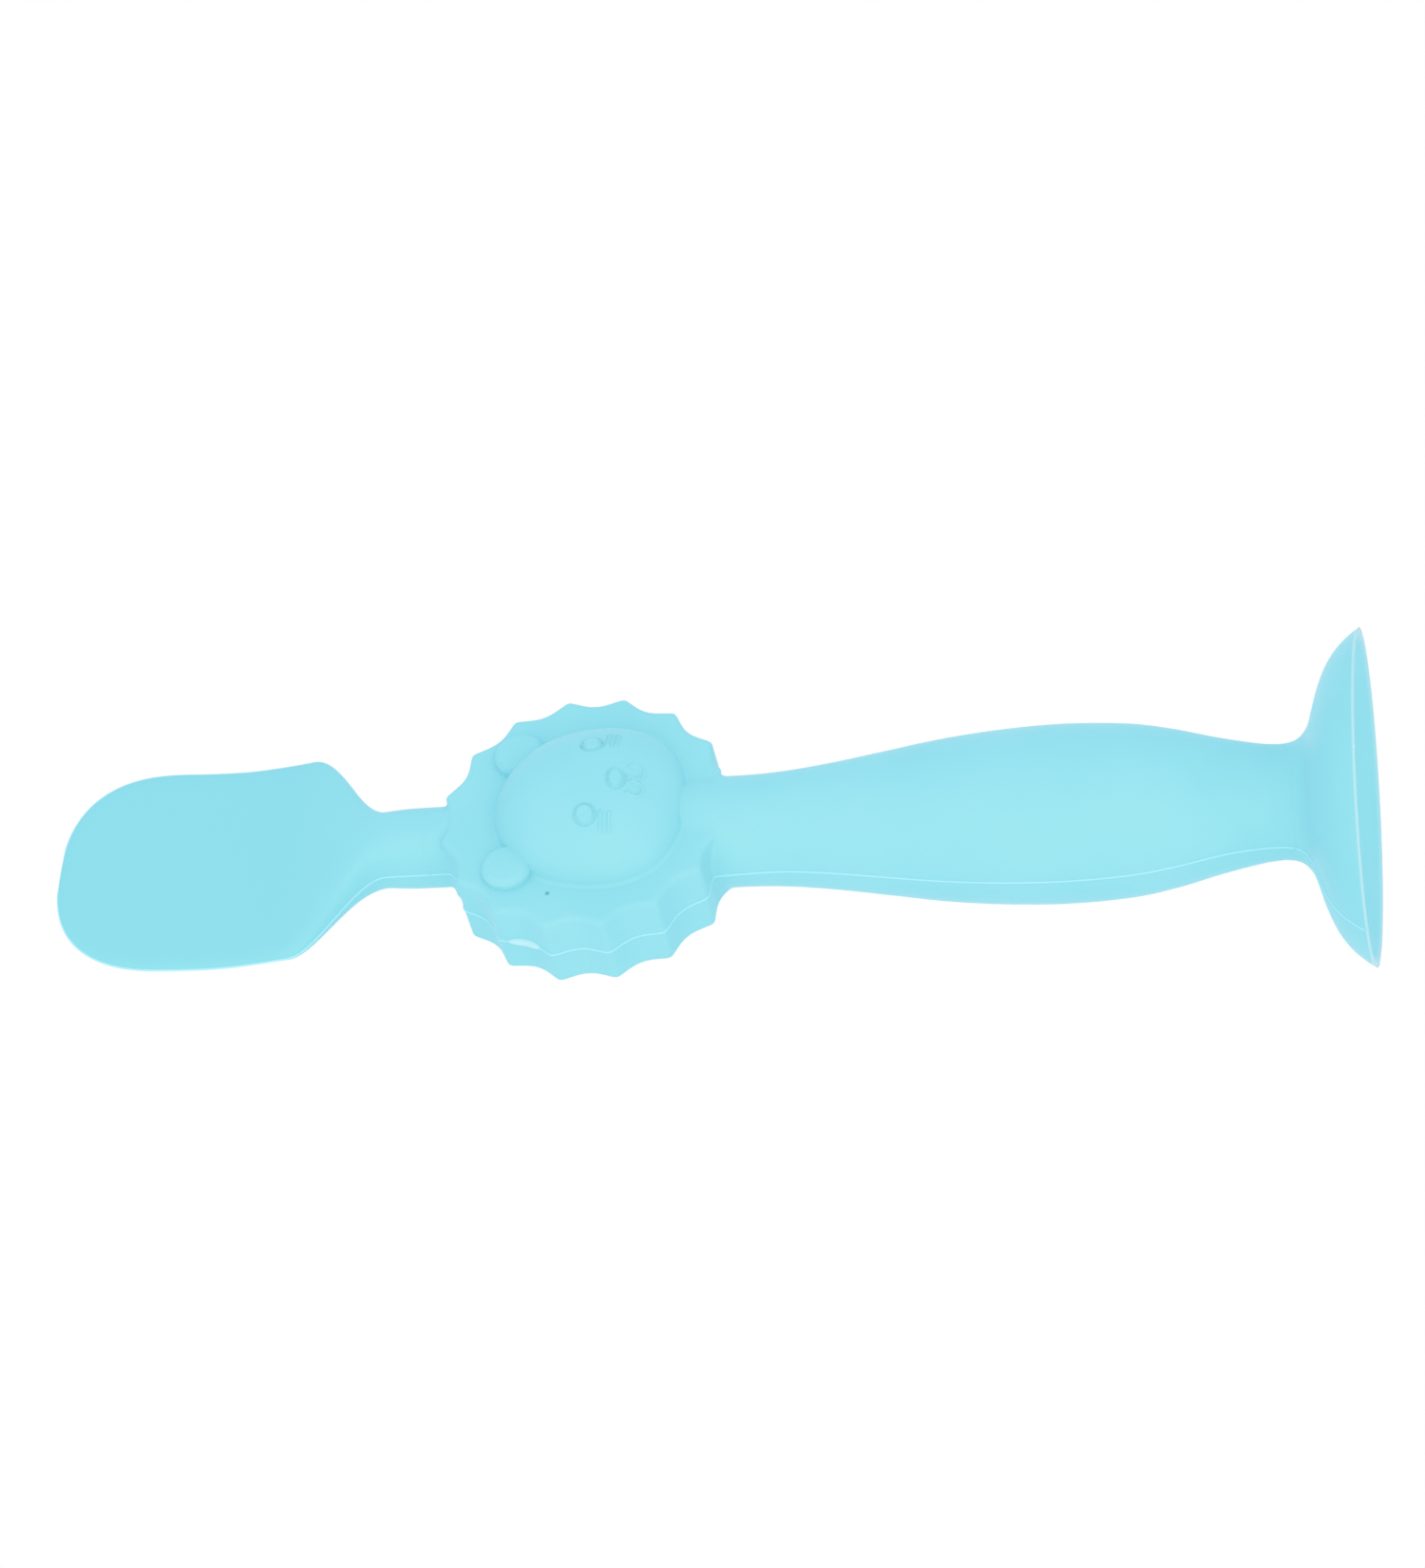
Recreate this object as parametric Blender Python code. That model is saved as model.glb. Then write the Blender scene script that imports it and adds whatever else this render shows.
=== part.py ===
"""Silicone nappy-cream applicator that stands on a suction cup.

From the bottom up: suction cup, round waist, barrel-shaped grip, lion-faced head with a scalloped
mane, and a thin flexible spreading blade.  The silicone is divided only where it flexes.

Frame: +Z up along the handle, origin at the centre of the suction rim's plane, face towards -Y.
All dimensions below are in millimetres; meshes are scaled to metres when they become objects.
"""
import math

import bmesh
import bpy
from mathutils import Matrix, Vector

MM = 0.001
GAP = 0.3                       # clearance between neighbouring solids
SEGMENTS = 48                   # facets round a turned piece

# Suction cup: radius and height along its outside and its inside
WAIST_RADIUS = 7.25
RIM_RADIUS = 21.1
RIM_WIDTH = 0.6                 # flat ring that touches the table
CUP_OUTER = [(RIM_RADIUS, 0.0), (20.15, 1.35), (18.5, 3.05), (16.5, 4.4), (14.0, 5.5), (11.5, 6.3),
             (9.5, 6.95), (8.2, 7.85), (7.5, 8.9), (WAIST_RADIUS, 10.2)]
CUP_INNER = [(0.0, 5.7), (6.0, 5.35), (9.5, 4.75), (13.0, 3.9), (16.5, 2.65), (19.0, 1.2),
             (RIM_RADIUS - RIM_WIDTH, 0.0)]
CROWN_RADIUS = 9.5              # the thin skirt starts outside this radius

# Rocking waist above the cup
ROCK_Z = 11.3
ROCK_LIMIT = math.radians(12.0)

# Grip: radius at each height
STUB_RADIUS = 7.05              # the end of the grip runs into the head
GRIP_OUTLINE = [(WAIST_RADIUS, ROCK_Z), (7.5, 13.5), (8.5, 18.4), (9.9, 24.0), (10.85, 29.6), (11.25, 37.5),
                (10.95, 45.5), (10.2, 53.0), (9.1, 60.0), (8.0, 67.0), (7.3, 73.0), (STUB_RADIUS, 78.0)]
GRIP_TOP_Z = 77.0               # plane where the grip meets the head

# Head: scalloped mane, domed face, ears
HEAD_Z = 98.1
MANE_TIP_RADIUS = 18.95
MANE_SCALLOP_DEPTH = 1.4
MANE_TEETH = 16
MANE_FRONT = 5.8                # mane face in front of the parting plane
MANE_BACK = 5.7
FACE_OUTLINE = (12.4, -1.2, -0.1, 0.47, -0.3, 0.13)    # cosine terms of the radius, from the brow round
FACE_APEX_UP = 2.0              # the dome peaks towards the brow
FACE_HEIGHT = 7.2               # dome above the mane's face
FACE_EDGE_POWER = 0.62
EAR_RADIUS = 3.25
EAR_TOP = 7.4
EAR_OFFSET_X = 9.1
EAR_OFFSET_Z = 9.0

# Neck and blade: half-width follows blade_half_width(), half-thickness follows this list
BLADE_TIP_Z = 168.3
BLADE_HALF_WIDTH = 16.0
NECK_HALF_WIDTH = 4.4
SHOULDER_START_Z = 124.5
SHOULDER_END_Z = 136.3
BLADE_END_LENGTH = 15.3         # length of the rounded end
BLADE_END_POWER = 2.5
HALF_THICKNESS = [(106.0, 5.3), (119.0, 5.3), (122.5, 5.1), (126.0, 4.4), (129.0, 3.4), (132.0, 2.45),
                  (136.0, 1.75), (141.0, 1.35), (150.0, 1.15), (160.0, 1.0), (168.3, 0.75)]
BLADE_DISH_Z = 147.3            # the blade is dished: its middle sits behind the parting plane
BLADE_DISH_BACK = 2.25
BLADE_TIP_BACK = 1.0
DISH_START_Z = 127.0
NECK_ROOT_Z = 108.0

# Blade flex line
FLEX_Z = 132.0
KNUCKLE_RADIUS = 2.6

# Stiffener bar inside the handle
CORE_RADIUS = 3.0
CORE_BOTTOM_Z = 20.0
CORE_TOP_Z = 104.0

SILICONE_BLUE = (0.31, 0.77, 0.87, 1.0)
CORE_WHITE = (0.82, 0.82, 0.78, 1.0)


def smoothstep(value, start, end):
    t = min(max((value - start) / (end - start), 0.0), 1.0)
    return t * t * (3.0 - 2.0 * t)


def smooth_through(points, steps):
    """Catmull-Rom curve through 2-D points, with the given number of steps per span."""
    padded = [points[0]] + list(points) + [points[-1]]
    curve = []
    for a, b, c, d in zip(padded, padded[1:], padded[2:], padded[3:]):
        for i in range(steps):
            t = i / steps
            curve.append(tuple(
                0.5 * (2 * q + (r - p) * t + (2 * p - 5 * q + 4 * r - s) * t * t
                       + (3 * q - p - 3 * r + s) * t ** 3)
                for p, q, r, s in zip(a, b, c, d)))
    curve.append(tuple(points[-1]))
    return curve


def value_at(table, position):
    """Linear reading of a (position, value) table."""
    for (low, start), (high, end) in zip(table, table[1:]):
        if position <= high:
            return start + (end - start) * max(position - low, 0.0) / (high - low)
    return table[-1][1]


# ---------------------------------------------------------------- solids

def skin(bm, lower, upper):
    """Faces between two rings of the same length; a ring of one vertex is a pole."""
    count = max(len(lower), len(upper))
    for i in range(count):
        j = (i + 1) % count
        if len(lower) == 1:
            bm.faces.new((lower[0], upper[j], upper[i]))
        elif len(upper) == 1:
            bm.faces.new((lower[i], lower[j], upper[0]))
        else:
            bm.faces.new((lower[i], lower[j], upper[j], upper[i]))


def turned(outline, segments=SEGMENTS):
    """Solid of revolution about Z; an outline off the axis closes on itself as a ring."""
    bm = bmesh.new()
    rings = []
    for radius, z in outline:
        if radius < 1e-6:
            rings.append([bm.verts.new((0.0, 0.0, z))])
            continue
        angles = [2.0 * math.pi * i / segments for i in range(segments)]
        rings.append([bm.verts.new((radius * math.cos(a), radius * math.sin(a), z)) for a in angles])
    pairs = list(zip(rings, rings[1:]))
    if len(rings[0]) > 1:
        pairs.append((rings[-1], rings[0]))
    for lower, upper in pairs:
        skin(bm, lower, upper)
    bmesh.ops.recalc_face_normals(bm, faces=bm.faces[:])
    return bm


def lofted(rings):
    """Closed solid through rings of 3-D points, with flat ends."""
    bm = bmesh.new()
    loops = [[bm.verts.new(point) for point in ring] for ring in rings]
    for lower, upper in zip(loops, loops[1:]):
        skin(bm, lower, upper)
    bm.faces.new(reversed(loops[0]))
    bm.faces.new(loops[-1])
    bmesh.ops.recalc_face_normals(bm, faces=bm.faces[:])
    return bm


def extruded_along_x(outline, half_length):
    """Prism along X from a (y, z) outline."""
    return lofted([[(x, y, z) for y, z in outline] for x in (-half_length, half_length)])


# ---------------------------------------------------------------- shape rules

def blade_half_width(z):
    width = NECK_HALF_WIDTH + (BLADE_HALF_WIDTH - NECK_HALF_WIDTH) * smoothstep(
        z, SHOULDER_START_Z, SHOULDER_END_Z)
    end = max(z - (BLADE_TIP_Z - BLADE_END_LENGTH), 0.0) / BLADE_END_LENGTH
    return width * max(1.0 - end ** BLADE_END_POWER, 0.0) ** (1.0 / BLADE_END_POWER)


def blade_centre_y(z):
    back = BLADE_DISH_BACK * smoothstep(z, DISH_START_Z, BLADE_DISH_Z)
    return back - (BLADE_DISH_BACK - BLADE_TIP_BACK) * smoothstep(z, BLADE_DISH_Z, BLADE_TIP_Z + 2.0)


def blade_section(z, count=40):
    """Ring round the neck or blade at height z: a superellipse, squarer at the neck."""
    width = max(blade_half_width(z), 0.9)
    thickness = value_at(HALF_THICKNESS, z)
    power = 2.2 + 0.3 * (1.0 - smoothstep(z, SHOULDER_START_Z, SHOULDER_END_Z))
    ring = []
    for i in range(count):
        angle = 2.0 * math.pi * i / count
        c, s = math.cos(angle), math.sin(angle)
        x = width * math.copysign(abs(c) ** (2.0 / power), c)
        y = thickness * math.copysign(abs(s) ** (2.0 / power), s)
        ring.append((x, y + blade_centre_y(z), z))
    return ring


def mane_radius(angle):
    """Scalloped outline: concave arcs between slightly rounded tips, valleys on the axes."""
    wave = math.sin(0.5 * MANE_TEETH * (angle + math.pi / MANE_TEETH))
    sharpness = math.sqrt(wave * wave + 0.015)
    return MANE_TIP_RADIUS - MANE_SCALLOP_DEPTH * min(sharpness, 1.0)


def mane_ring(y, inset, count=128):
    ring = []
    for i in range(count):
        angle = 2.0 * math.pi * i / count
        radius = mane_radius(angle) - inset
        ring.append((radius * math.cos(angle), y, HEAD_Z + radius * math.sin(angle)))
    return ring


def face_ring(share, height, count=48):
    """Ring round the face, shrunk towards its apex; broad at the cheeks and narrow at the brow."""
    ring = []
    for i in range(count):
        angle = 2.0 * math.pi * i / count
        radius = sum(term * math.cos(n * angle) for n, term in enumerate(FACE_OUTLINE))
        up = FACE_APEX_UP + share * (radius * math.cos(angle) - FACE_APEX_UP)
        ring.append((share * radius * math.sin(angle), -MANE_FRONT - height, HEAD_Z + up))
    return ring


def knuckle_outline(radius, outer_z, reach=12.0, steps=12):
    """(y, z) outline of everything on outer_z's side of the flex line, less or plus the half round
    of the given radius below it."""
    centre = blade_centre_y(FLEX_Z)
    arc = [(centre + radius * math.cos(a), FLEX_Z + radius * math.sin(a))
           for a in (math.pi + math.pi * i / steps for i in range(steps + 1))]
    return [(-reach, FLEX_Z)] + arc + [(reach, FLEX_Z), (reach, outer_z), (-reach, outer_z)]


# ---------------------------------------------------------------- objects

def clear_scene():
    for item in list(bpy.data.objects):
        bpy.data.objects.remove(item, do_unlink=True)


def plain_material(name, colour, roughness):
    material = bpy.data.materials.new(name)
    material.use_nodes = True
    shader = material.node_tree.nodes["Principled BSDF"]
    shader.inputs["Base Color"].default_value = colour
    shader.inputs["Roughness"].default_value = roughness
    shader.inputs["Metallic"].default_value = 0.0
    return material


def add_object(name, bm, material=None, origin=(0.0, 0.0, 0.0), parent=None):
    """Object whose origin is the given world point in millimetres; closes the bmesh."""
    point = Vector(origin)
    bmesh.ops.transform(bm, matrix=Matrix.Scale(MM, 4) @ Matrix.Translation(-point), verts=bm.verts[:])
    mesh = bpy.data.meshes.new(name)
    bm.to_mesh(mesh)
    bm.free()
    mesh.shade_smooth()
    mesh.set_sharp_from_angle(angle=math.radians(35.0))
    item = bpy.data.objects.new(name, mesh)
    bpy.context.scene.collection.objects.link(item)
    if material:
        mesh.materials.append(material)
    attach(item, point, parent)
    return item


def add_pivot(name, origin, parent=None):
    pivot = bpy.data.objects.new(name, None)
    pivot.empty_display_size = 0.01
    bpy.context.scene.collection.objects.link(pivot)
    attach(pivot, Vector(origin), parent)
    return pivot


def attach(item, point, parent):
    """Place an unrotated item at a world point in millimetres, under its parent."""
    item["world_point"] = list(point)
    offset = Vector(parent["world_point"]) if parent else Vector()
    item.location = (point - offset) * MM
    item.parent = parent


def cut_or_join(target, tool, operation):
    """Boolean with a tool object that stays as a hidden guide."""
    tool.hide_render = True
    tool.display_type = 'WIRE'
    modifier = target.modifiers.new(tool.name, 'BOOLEAN')
    modifier.operation = operation
    modifier.solver = 'EXACT'
    modifier.object = tool


# ---------------------------------------------------------------- pieces

def make_skirt(material):
    """Thin flared wall of the cup, down to the flat ring that touches the table."""
    inside = CROWN_RADIUS + 0.5 * GAP
    outer = [p for p in smooth_through(CUP_OUTER, 2) if p[0] > inside + 0.2]
    inner = [p for p in smooth_through(CUP_INNER, 2) if p[0] > inside + 0.2]
    top_z = value_at([(r, z) for r, z in reversed(CUP_OUTER)], inside)
    low_z = value_at(CUP_INNER, inside)
    outline = outer + [(inside, top_z), (inside, low_z)] + inner
    return add_object("suction_skirt", turned(outline), material)


def make_crown(material):
    """Thick middle of the cup, with a shallow cone on top that leaves room to rock."""
    edge = CROWN_RADIUS - 0.5 * GAP
    top_z = value_at([(r, z) for r, z in reversed(CUP_OUTER)], edge)
    low_z = value_at(CUP_INNER, edge)
    slope = math.tan(0.5 * ROCK_LIMIT)
    waist_z = ROCK_Z - 0.5 * GAP - WAIST_RADIUS * slope
    inner = [p for p in smooth_through(CUP_INNER, 2) if p[0] < edge - 0.2]
    outer = [p for p in smooth_through(CUP_OUTER, 2) if p[0] < edge - 0.2 and p[1] < waist_z - 0.1]
    outline = inner + [(edge, low_z), (edge, top_z)] + outer
    outline += [(WAIST_RADIUS, waist_z), (0.0, ROCK_Z - 0.5 * GAP)]
    return add_object("suction_crown", turned(outline), material)


def make_grip(material, pivot):
    """Barrel grip, with the matching cone underneath and a blind pocket for the core."""
    slope = math.tan(0.5 * ROCK_LIMIT)
    low_z = ROCK_Z + 0.5 * GAP + WAIST_RADIUS * slope
    top_z = GRIP_TOP_Z - 0.5 * GAP
    wall = [p for p in smooth_through(GRIP_OUTLINE, 2) if low_z + 0.1 < p[1] < top_z - 0.1]
    pocket = CORE_RADIUS + GAP
    outline = [(0.0, ROCK_Z + 0.5 * GAP), (WAIST_RADIUS, low_z)] + wall + [(STUB_RADIUS, top_z)]
    outline += [(pocket, top_z), (pocket, CORE_BOTTOM_Z - GAP), (0.0, CORE_BOTTOM_Z - GAP)]
    return add_object("grip", turned(outline), material, (0.0, 0.0, ROCK_Z), pivot)


def make_head(material, pivot):
    """Mane, face dome, ears, handle stub and neck in one moulding, cut for core and blade."""
    layers = [(MANE_BACK, 1.1), (MANE_BACK - 0.3, 0.4), (MANE_BACK - 1.0, 0.1), (0.0, 0.0),
              (1.0 - MANE_FRONT, 0.1), (0.3 - MANE_FRONT, 0.4), (-MANE_FRONT, 1.1)]
    mane = lofted([mane_ring(y, inset) for y, inset in layers])
    origin = (0.0, 0.0, ROCK_Z)
    head = add_object("lion_head", mane, material, origin, pivot)

    shares = [math.sin(0.5 * math.pi * i / 14) for i in range(14, 0, -1)]
    layers = [(share, FACE_HEIGHT * (1.0 - share * share) ** FACE_EDGE_POWER) for share in shares]
    dome = lofted([face_ring(share, height) for share, height in [(1.0, -1.5)] + layers])
    cut_or_join(head, add_object("face_dome_guide", dome), 'UNION')

    for side, label in ((-1.0, "left"), (1.0, "right")):
        ear = turned([(0.0, 0.0), (EAR_RADIUS, 0.0), (EAR_RADIUS, EAR_TOP - 0.7),
                      (EAR_RADIUS - 0.25, EAR_TOP - 0.2), (EAR_RADIUS - 0.8, EAR_TOP), (0.0, EAR_TOP)], 32)
        place = (Matrix.Translation((side * EAR_OFFSET_X, 0.0, HEAD_Z + EAR_OFFSET_Z))
                 @ Matrix.Rotation(math.radians(90.0), 4, 'X'))
        bmesh.ops.transform(ear, matrix=place, verts=ear.verts[:])
        cut_or_join(head, add_object("ear_guide_" + label, ear), 'UNION')

    stub_low = GRIP_TOP_Z + 0.5 * GAP
    stub = turned([(0.0, stub_low), (STUB_RADIUS, stub_low), (STUB_RADIUS, HEAD_Z - 14.0),
                   (STUB_RADIUS - 0.4, HEAD_Z - 9.0), (4.6, HEAD_Z - 2.0), (0.0, HEAD_Z - 2.0)])
    cut_or_join(head, add_object("stub_guide", stub), 'UNION')

    neck_z = [NECK_ROOT_Z + (FLEX_Z - NECK_ROOT_Z) * i / 12 for i in range(13)]
    neck = lofted([blade_section(z) for z in neck_z])
    cut_or_join(head, add_object("neck_guide", neck), 'UNION')

    pocket = turned([(0.0, GRIP_TOP_Z - 5.0), (CORE_RADIUS + GAP, GRIP_TOP_Z - 5.0),
                     (CORE_RADIUS + GAP, CORE_TOP_Z + GAP), (0.0, CORE_TOP_Z + GAP)], 32)
    cut_or_join(head, add_object("core_pocket_cutter", pocket), 'DIFFERENCE')

    socket = extruded_along_x(knuckle_outline(KNUCKLE_RADIUS + GAP, FLEX_Z + 10.0), 25.0)
    cut_or_join(head, add_object("flex_socket_cutter", socket), 'DIFFERENCE')
    return head


def make_core(material, pivot):
    """Round stiffener bar with softened ends."""
    outline = [(0.0, CORE_BOTTOM_Z), (CORE_RADIUS - 0.8, CORE_BOTTOM_Z), (CORE_RADIUS, CORE_BOTTOM_Z + 0.8),
               (CORE_RADIUS, CORE_TOP_Z - 0.8), (CORE_RADIUS - 0.8, CORE_TOP_Z), (0.0, CORE_TOP_Z)]
    return add_object("stiffener_core", turned(outline, 32), material, (0.0, 0.0, ROCK_Z), pivot)


def make_blade(material, pivot, origin):
    """Thin paddle whose root is a half-round knuckle about the flex line."""
    root_z = FLEX_Z - KNUCKLE_RADIUS - 0.5
    straight = [root_z + (BLADE_TIP_Z - BLADE_END_LENGTH - root_z) * i / 14 for i in range(15)]
    end_steps = [math.sin(0.5 * math.pi * i / 12) for i in range(1, 13)]
    rounded = [BLADE_TIP_Z - BLADE_END_LENGTH * (1.0 - step) for step in end_steps]
    blade = lofted([blade_section(z) for z in straight + rounded])
    item = add_object("spreading_blade", blade, material, origin, pivot)
    collar = extruded_along_x(knuckle_outline(KNUCKLE_RADIUS, FLEX_Z - 10.0), 25.0)
    cut_or_join(item, add_object("knuckle_cutter", collar), 'DIFFERENCE')
    return item


def main():
    clear_scene()
    bpy.context.scene.unit_settings.system = 'METRIC'
    silicone = plain_material("silicone", SILICONE_BLUE, 0.55)
    nylon = plain_material("core_nylon", CORE_WHITE, 0.45)
    make_skirt(silicone)
    crown = make_crown(silicone)
    rock_pivot = add_pivot("rock_pivot", (0.0, 0.0, ROCK_Z), crown)
    make_grip(silicone, rock_pivot)
    make_head(silicone, rock_pivot)
    make_core(nylon, rock_pivot)
    flex_point = (0.0, blade_centre_y(FLEX_Z), FLEX_Z)
    flex_pivot = add_pivot("flex_pivot", flex_point, rock_pivot)
    make_blade(silicone, flex_pivot, flex_point)


main()
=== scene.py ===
import math

import bpy
import numpy as np
from mathutils import Matrix, Vector


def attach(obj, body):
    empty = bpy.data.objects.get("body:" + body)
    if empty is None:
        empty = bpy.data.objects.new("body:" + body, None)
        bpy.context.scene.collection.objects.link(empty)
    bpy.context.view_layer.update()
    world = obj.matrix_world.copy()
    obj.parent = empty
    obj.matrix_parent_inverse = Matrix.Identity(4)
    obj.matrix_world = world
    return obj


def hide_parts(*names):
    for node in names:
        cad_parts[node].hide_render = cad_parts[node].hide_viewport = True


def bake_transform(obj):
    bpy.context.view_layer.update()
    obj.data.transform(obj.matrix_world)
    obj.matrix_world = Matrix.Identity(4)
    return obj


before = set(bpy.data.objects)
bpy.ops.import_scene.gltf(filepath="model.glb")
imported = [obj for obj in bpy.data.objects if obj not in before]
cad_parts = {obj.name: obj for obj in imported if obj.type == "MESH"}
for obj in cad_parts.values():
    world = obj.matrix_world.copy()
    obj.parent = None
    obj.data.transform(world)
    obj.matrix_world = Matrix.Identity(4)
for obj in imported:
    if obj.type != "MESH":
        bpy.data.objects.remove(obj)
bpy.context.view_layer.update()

# Silicone nappy-cream applicator on a suction cup: turned cup, barrel grip and lion-faced head in one
# flowing skin, thin dished blade.  Millimetres throughout; add_piece() scales to metres.
MM = 0.001

# Suction cup and grip: (radius, height)
RIM_RADIUS = 21.1
CUP_OUTER = [(RIM_RADIUS, 0.0), (20.15, 1.35), (18.5, 3.05), (16.5, 4.4), (14.0, 5.5), (11.5, 6.3),
             (9.5, 6.95), (8.2, 7.85), (7.5, 8.9), (7.25, 10.2)]
RIM_FLAT = (20.62, 0.0)         # on the flat ring, keeps its inner edge crisp
CUP_INNER = [(20.5, 0.0), (19.0, 1.2), (16.5, 2.65), (13.0, 3.9), (9.5, 4.75), (6.0, 5.35), (0.0, 5.7)]
GRIP_OUTLINE = [(7.25, 11.3), (7.5, 13.5), (8.5, 18.4), (9.9, 24.0), (10.85, 29.6), (11.25, 37.5),
                (10.95, 45.5), (10.2, 53.0), (9.1, 60.0), (8.0, 67.0), (7.3, 73.0), (7.05, 78.0),
                (7.05, 84.1), (6.65, 89.1), (4.6, 96.1)]
OUTLINE_STEPS = 20              # points from one outline point to the next
HOLLOW_STEPS = 10
THICKNESS_STEPS = 12
CUP_SEAM_Z = 9.0                # cup and handle share one surface on both sides of this height
BLADE_SEAM_Z = 118.9            # handle and blade likewise
SEAM_LAP = 0.7                  # each piece runs on this far under its neighbour
SEAM_TUCK = 0.006               # the hidden end of each lap sits this much lower

# Head
HEAD_Z = 98.1
MANE_TIP_RADIUS = 18.95
MANE_SCALLOP_DEPTH = 1.4
MANE_CUSP_ROUND = 0.02          # softens the points of the teeth
MANE_TEETH = 16
MANE_FRONT = 5.8
MANE_BACK = 5.7
MANE_EDGE_ROUND = 0.7
MANE_DRAFT = 0.02
HEAD_FILLET = 0.5               # where grip, mane and neck meet
GRIP_TOP_Z = 97.0               # the grip ends here, inside the head
FAR_OUTSIDE = 40.0              # added to the grip's field above that, so that nothing is left of it
FACE_OUTLINE = (12.4, -1.2, -0.1, 0.47, -0.3, 0.13)    # cosine terms of the radius, from the brow round
FACE_CHIN = 0.42                # the dome's foot runs this much further out, over the top of the grip
FACE_CHIN_SPREAD = 0.42         # and does so within about this angle of straight down, in radians
FACE_APEX_UP = 2.0
FACE_HEIGHT = 7.2
FACE_EDGE_POWER = 0.62
FACE_FILLET = 0.6               # radius of the hollow where the dome's foot runs out into the mane
FACE_FILLET_REACH = 0.041       # how far it runs past the outline, as a share of the outline's radius
FACE_FOOT_SINK = 0.004          # its last row ends this much under the mane's surface
CAP_BASE = MANE_FRONT - 1.5     # dome and ears reach back to here, inside the mane
EAR_RADIUS = 3.25
EAR_TOP = 7.4
EAR_OFFSET_X = 9.1
EAR_OFFSET_Z = 9.0

# Face, in millimetres across and up from the middle of the head
EYE_X = 5.65
EYE_UP = -1.65
EYE_RADIUS = 1.2
NOSE_UP = -5.15
NOSE_RADIUS = 0.95
NOSE_WIDENED = 1.45
CHEEK_X = (5.35, 7.9)           # from and to
CHEEK_UPS = (-3.65, -4.7)
MOUTH_X = 1.3
MOUTH_UP = -7.4
MOUTH_RADIUS = 1.1
MOUTH_LIFT = 0.75               # each loop stops this high above its centre

# Neck and blade
BLADE_TIP_Z = 168.3
BLADE_HALF_WIDTH = 16.0
NECK_HALF_WIDTH = 4.4
NECK_POWER = 2.5                # squareness of the neck's section
SHOULDER_START_Z = 124.5
SHOULDER_END_Z = 136.3
BLADE_END_LENGTH = 15.3
BLADE_END_POWER = 2.5
HALF_THICKNESS = [(106.0, 5.3), (119.0, 5.3), (122.5, 5.1), (126.0, 4.4), (129.0, 3.4), (132.0, 2.45),
                  (136.0, 1.75), (141.0, 1.35), (150.0, 1.15), (160.0, 1.0), (168.3, 0.75)]
BLADE_DISH_Z = 147.3
BLADE_DISH_BACK = 2.25
BLADE_TIP_BACK = 1.0
DISH_START_Z = 127.0
NECK_ROOT_Z = 106.0
FLASH_RADIUS = 0.15             # raised line left where the mould halves meet
FLASH_SHIFT = 0.55              # it runs this far to the face side of the grip's middle
FLASH_BURR = (16.4, 105.4)      # thicker spot in one valley of the mane, at (-x, z)
FLASH_BURR_LENGTH = 2.0
FLASH_BURR_EXTRA = 0.42
SPECKS = [(-13.1, -5.8, 101.7, 0.26), (10.2, 0.6, 157.45, 0.17)]    # dark specks in the skin: place, radius


def smoothstep(value, start, end):
    t = np.clip((value - start) / (end - start), 0.0, 1.0)
    return t * t * (3.0 - 2.0 * t)


def smooth_through(points, steps):
    """Catmull-Rom curve through 2-D points."""
    p = np.array([points[0]] + list(points) + [points[-1]], float)
    t = (np.arange(steps) / steps)[:, None]
    spans = [0.5 * (2 * b + (c - a) * t + (2 * a - 5 * b + 4 * c - d) * t ** 2
                    + (3 * b - a - 3 * c + d) * t ** 3)
             for a, b, c, d in zip(p, p[1:], p[2:], p[3:])]
    return np.vstack(spans + [p[-1:]])


OUTSIDE = smooth_through(CUP_OUTER + GRIP_OUTLINE, OUTLINE_STEPS)
THICKNESS = smooth_through(HALF_THICKNESS, THICKNESS_STEPS)


def body_radius(z):
    """Radius of cup neck and grip; only used where the outline climbs steadily."""
    return np.interp(z, OUTSIDE[:, 1], OUTSIDE[:, 0])


def half_thickness(z):
    return np.interp(z, THICKNESS[:, 0], THICKNESS[:, 1])


def mane_radius(angle):
    wave = np.sin(0.5 * MANE_TEETH * (angle + math.pi / MANE_TEETH))
    return MANE_TIP_RADIUS - MANE_SCALLOP_DEPTH * np.minimum(np.sqrt(wave * wave + MANE_CUSP_ROUND), 1.0)


def blade_width(z):
    shoulder = smoothstep(z, SHOULDER_START_Z, SHOULDER_END_Z)
    return NECK_HALF_WIDTH + (BLADE_HALF_WIDTH - NECK_HALF_WIDTH) * shoulder


def blade_centre_y(z):
    back = BLADE_DISH_BACK * smoothstep(z, DISH_START_Z, BLADE_DISH_Z)
    return back - (BLADE_DISH_BACK - BLADE_TIP_BACK) * smoothstep(z, BLADE_DISH_Z, BLADE_TIP_Z + 2.0)


def smooth_min(a, b, radius):
    """Union of two distance fields with a fillet of roughly the given radius."""
    h = np.clip(0.5 + 0.5 * (b - a) / radius, 0.0, 1.0)
    return b + (a - b) * h - radius * h * (1.0 - h)


def rounded_max(a, b, radius):
    """Intersection of two distance fields with a rounded edge."""
    a, b = a + radius, b + radius
    return np.minimum(np.maximum(a, b), 0.0) + np.hypot(np.maximum(a, 0.0), np.maximum(b, 0.0)) - radius


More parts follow.
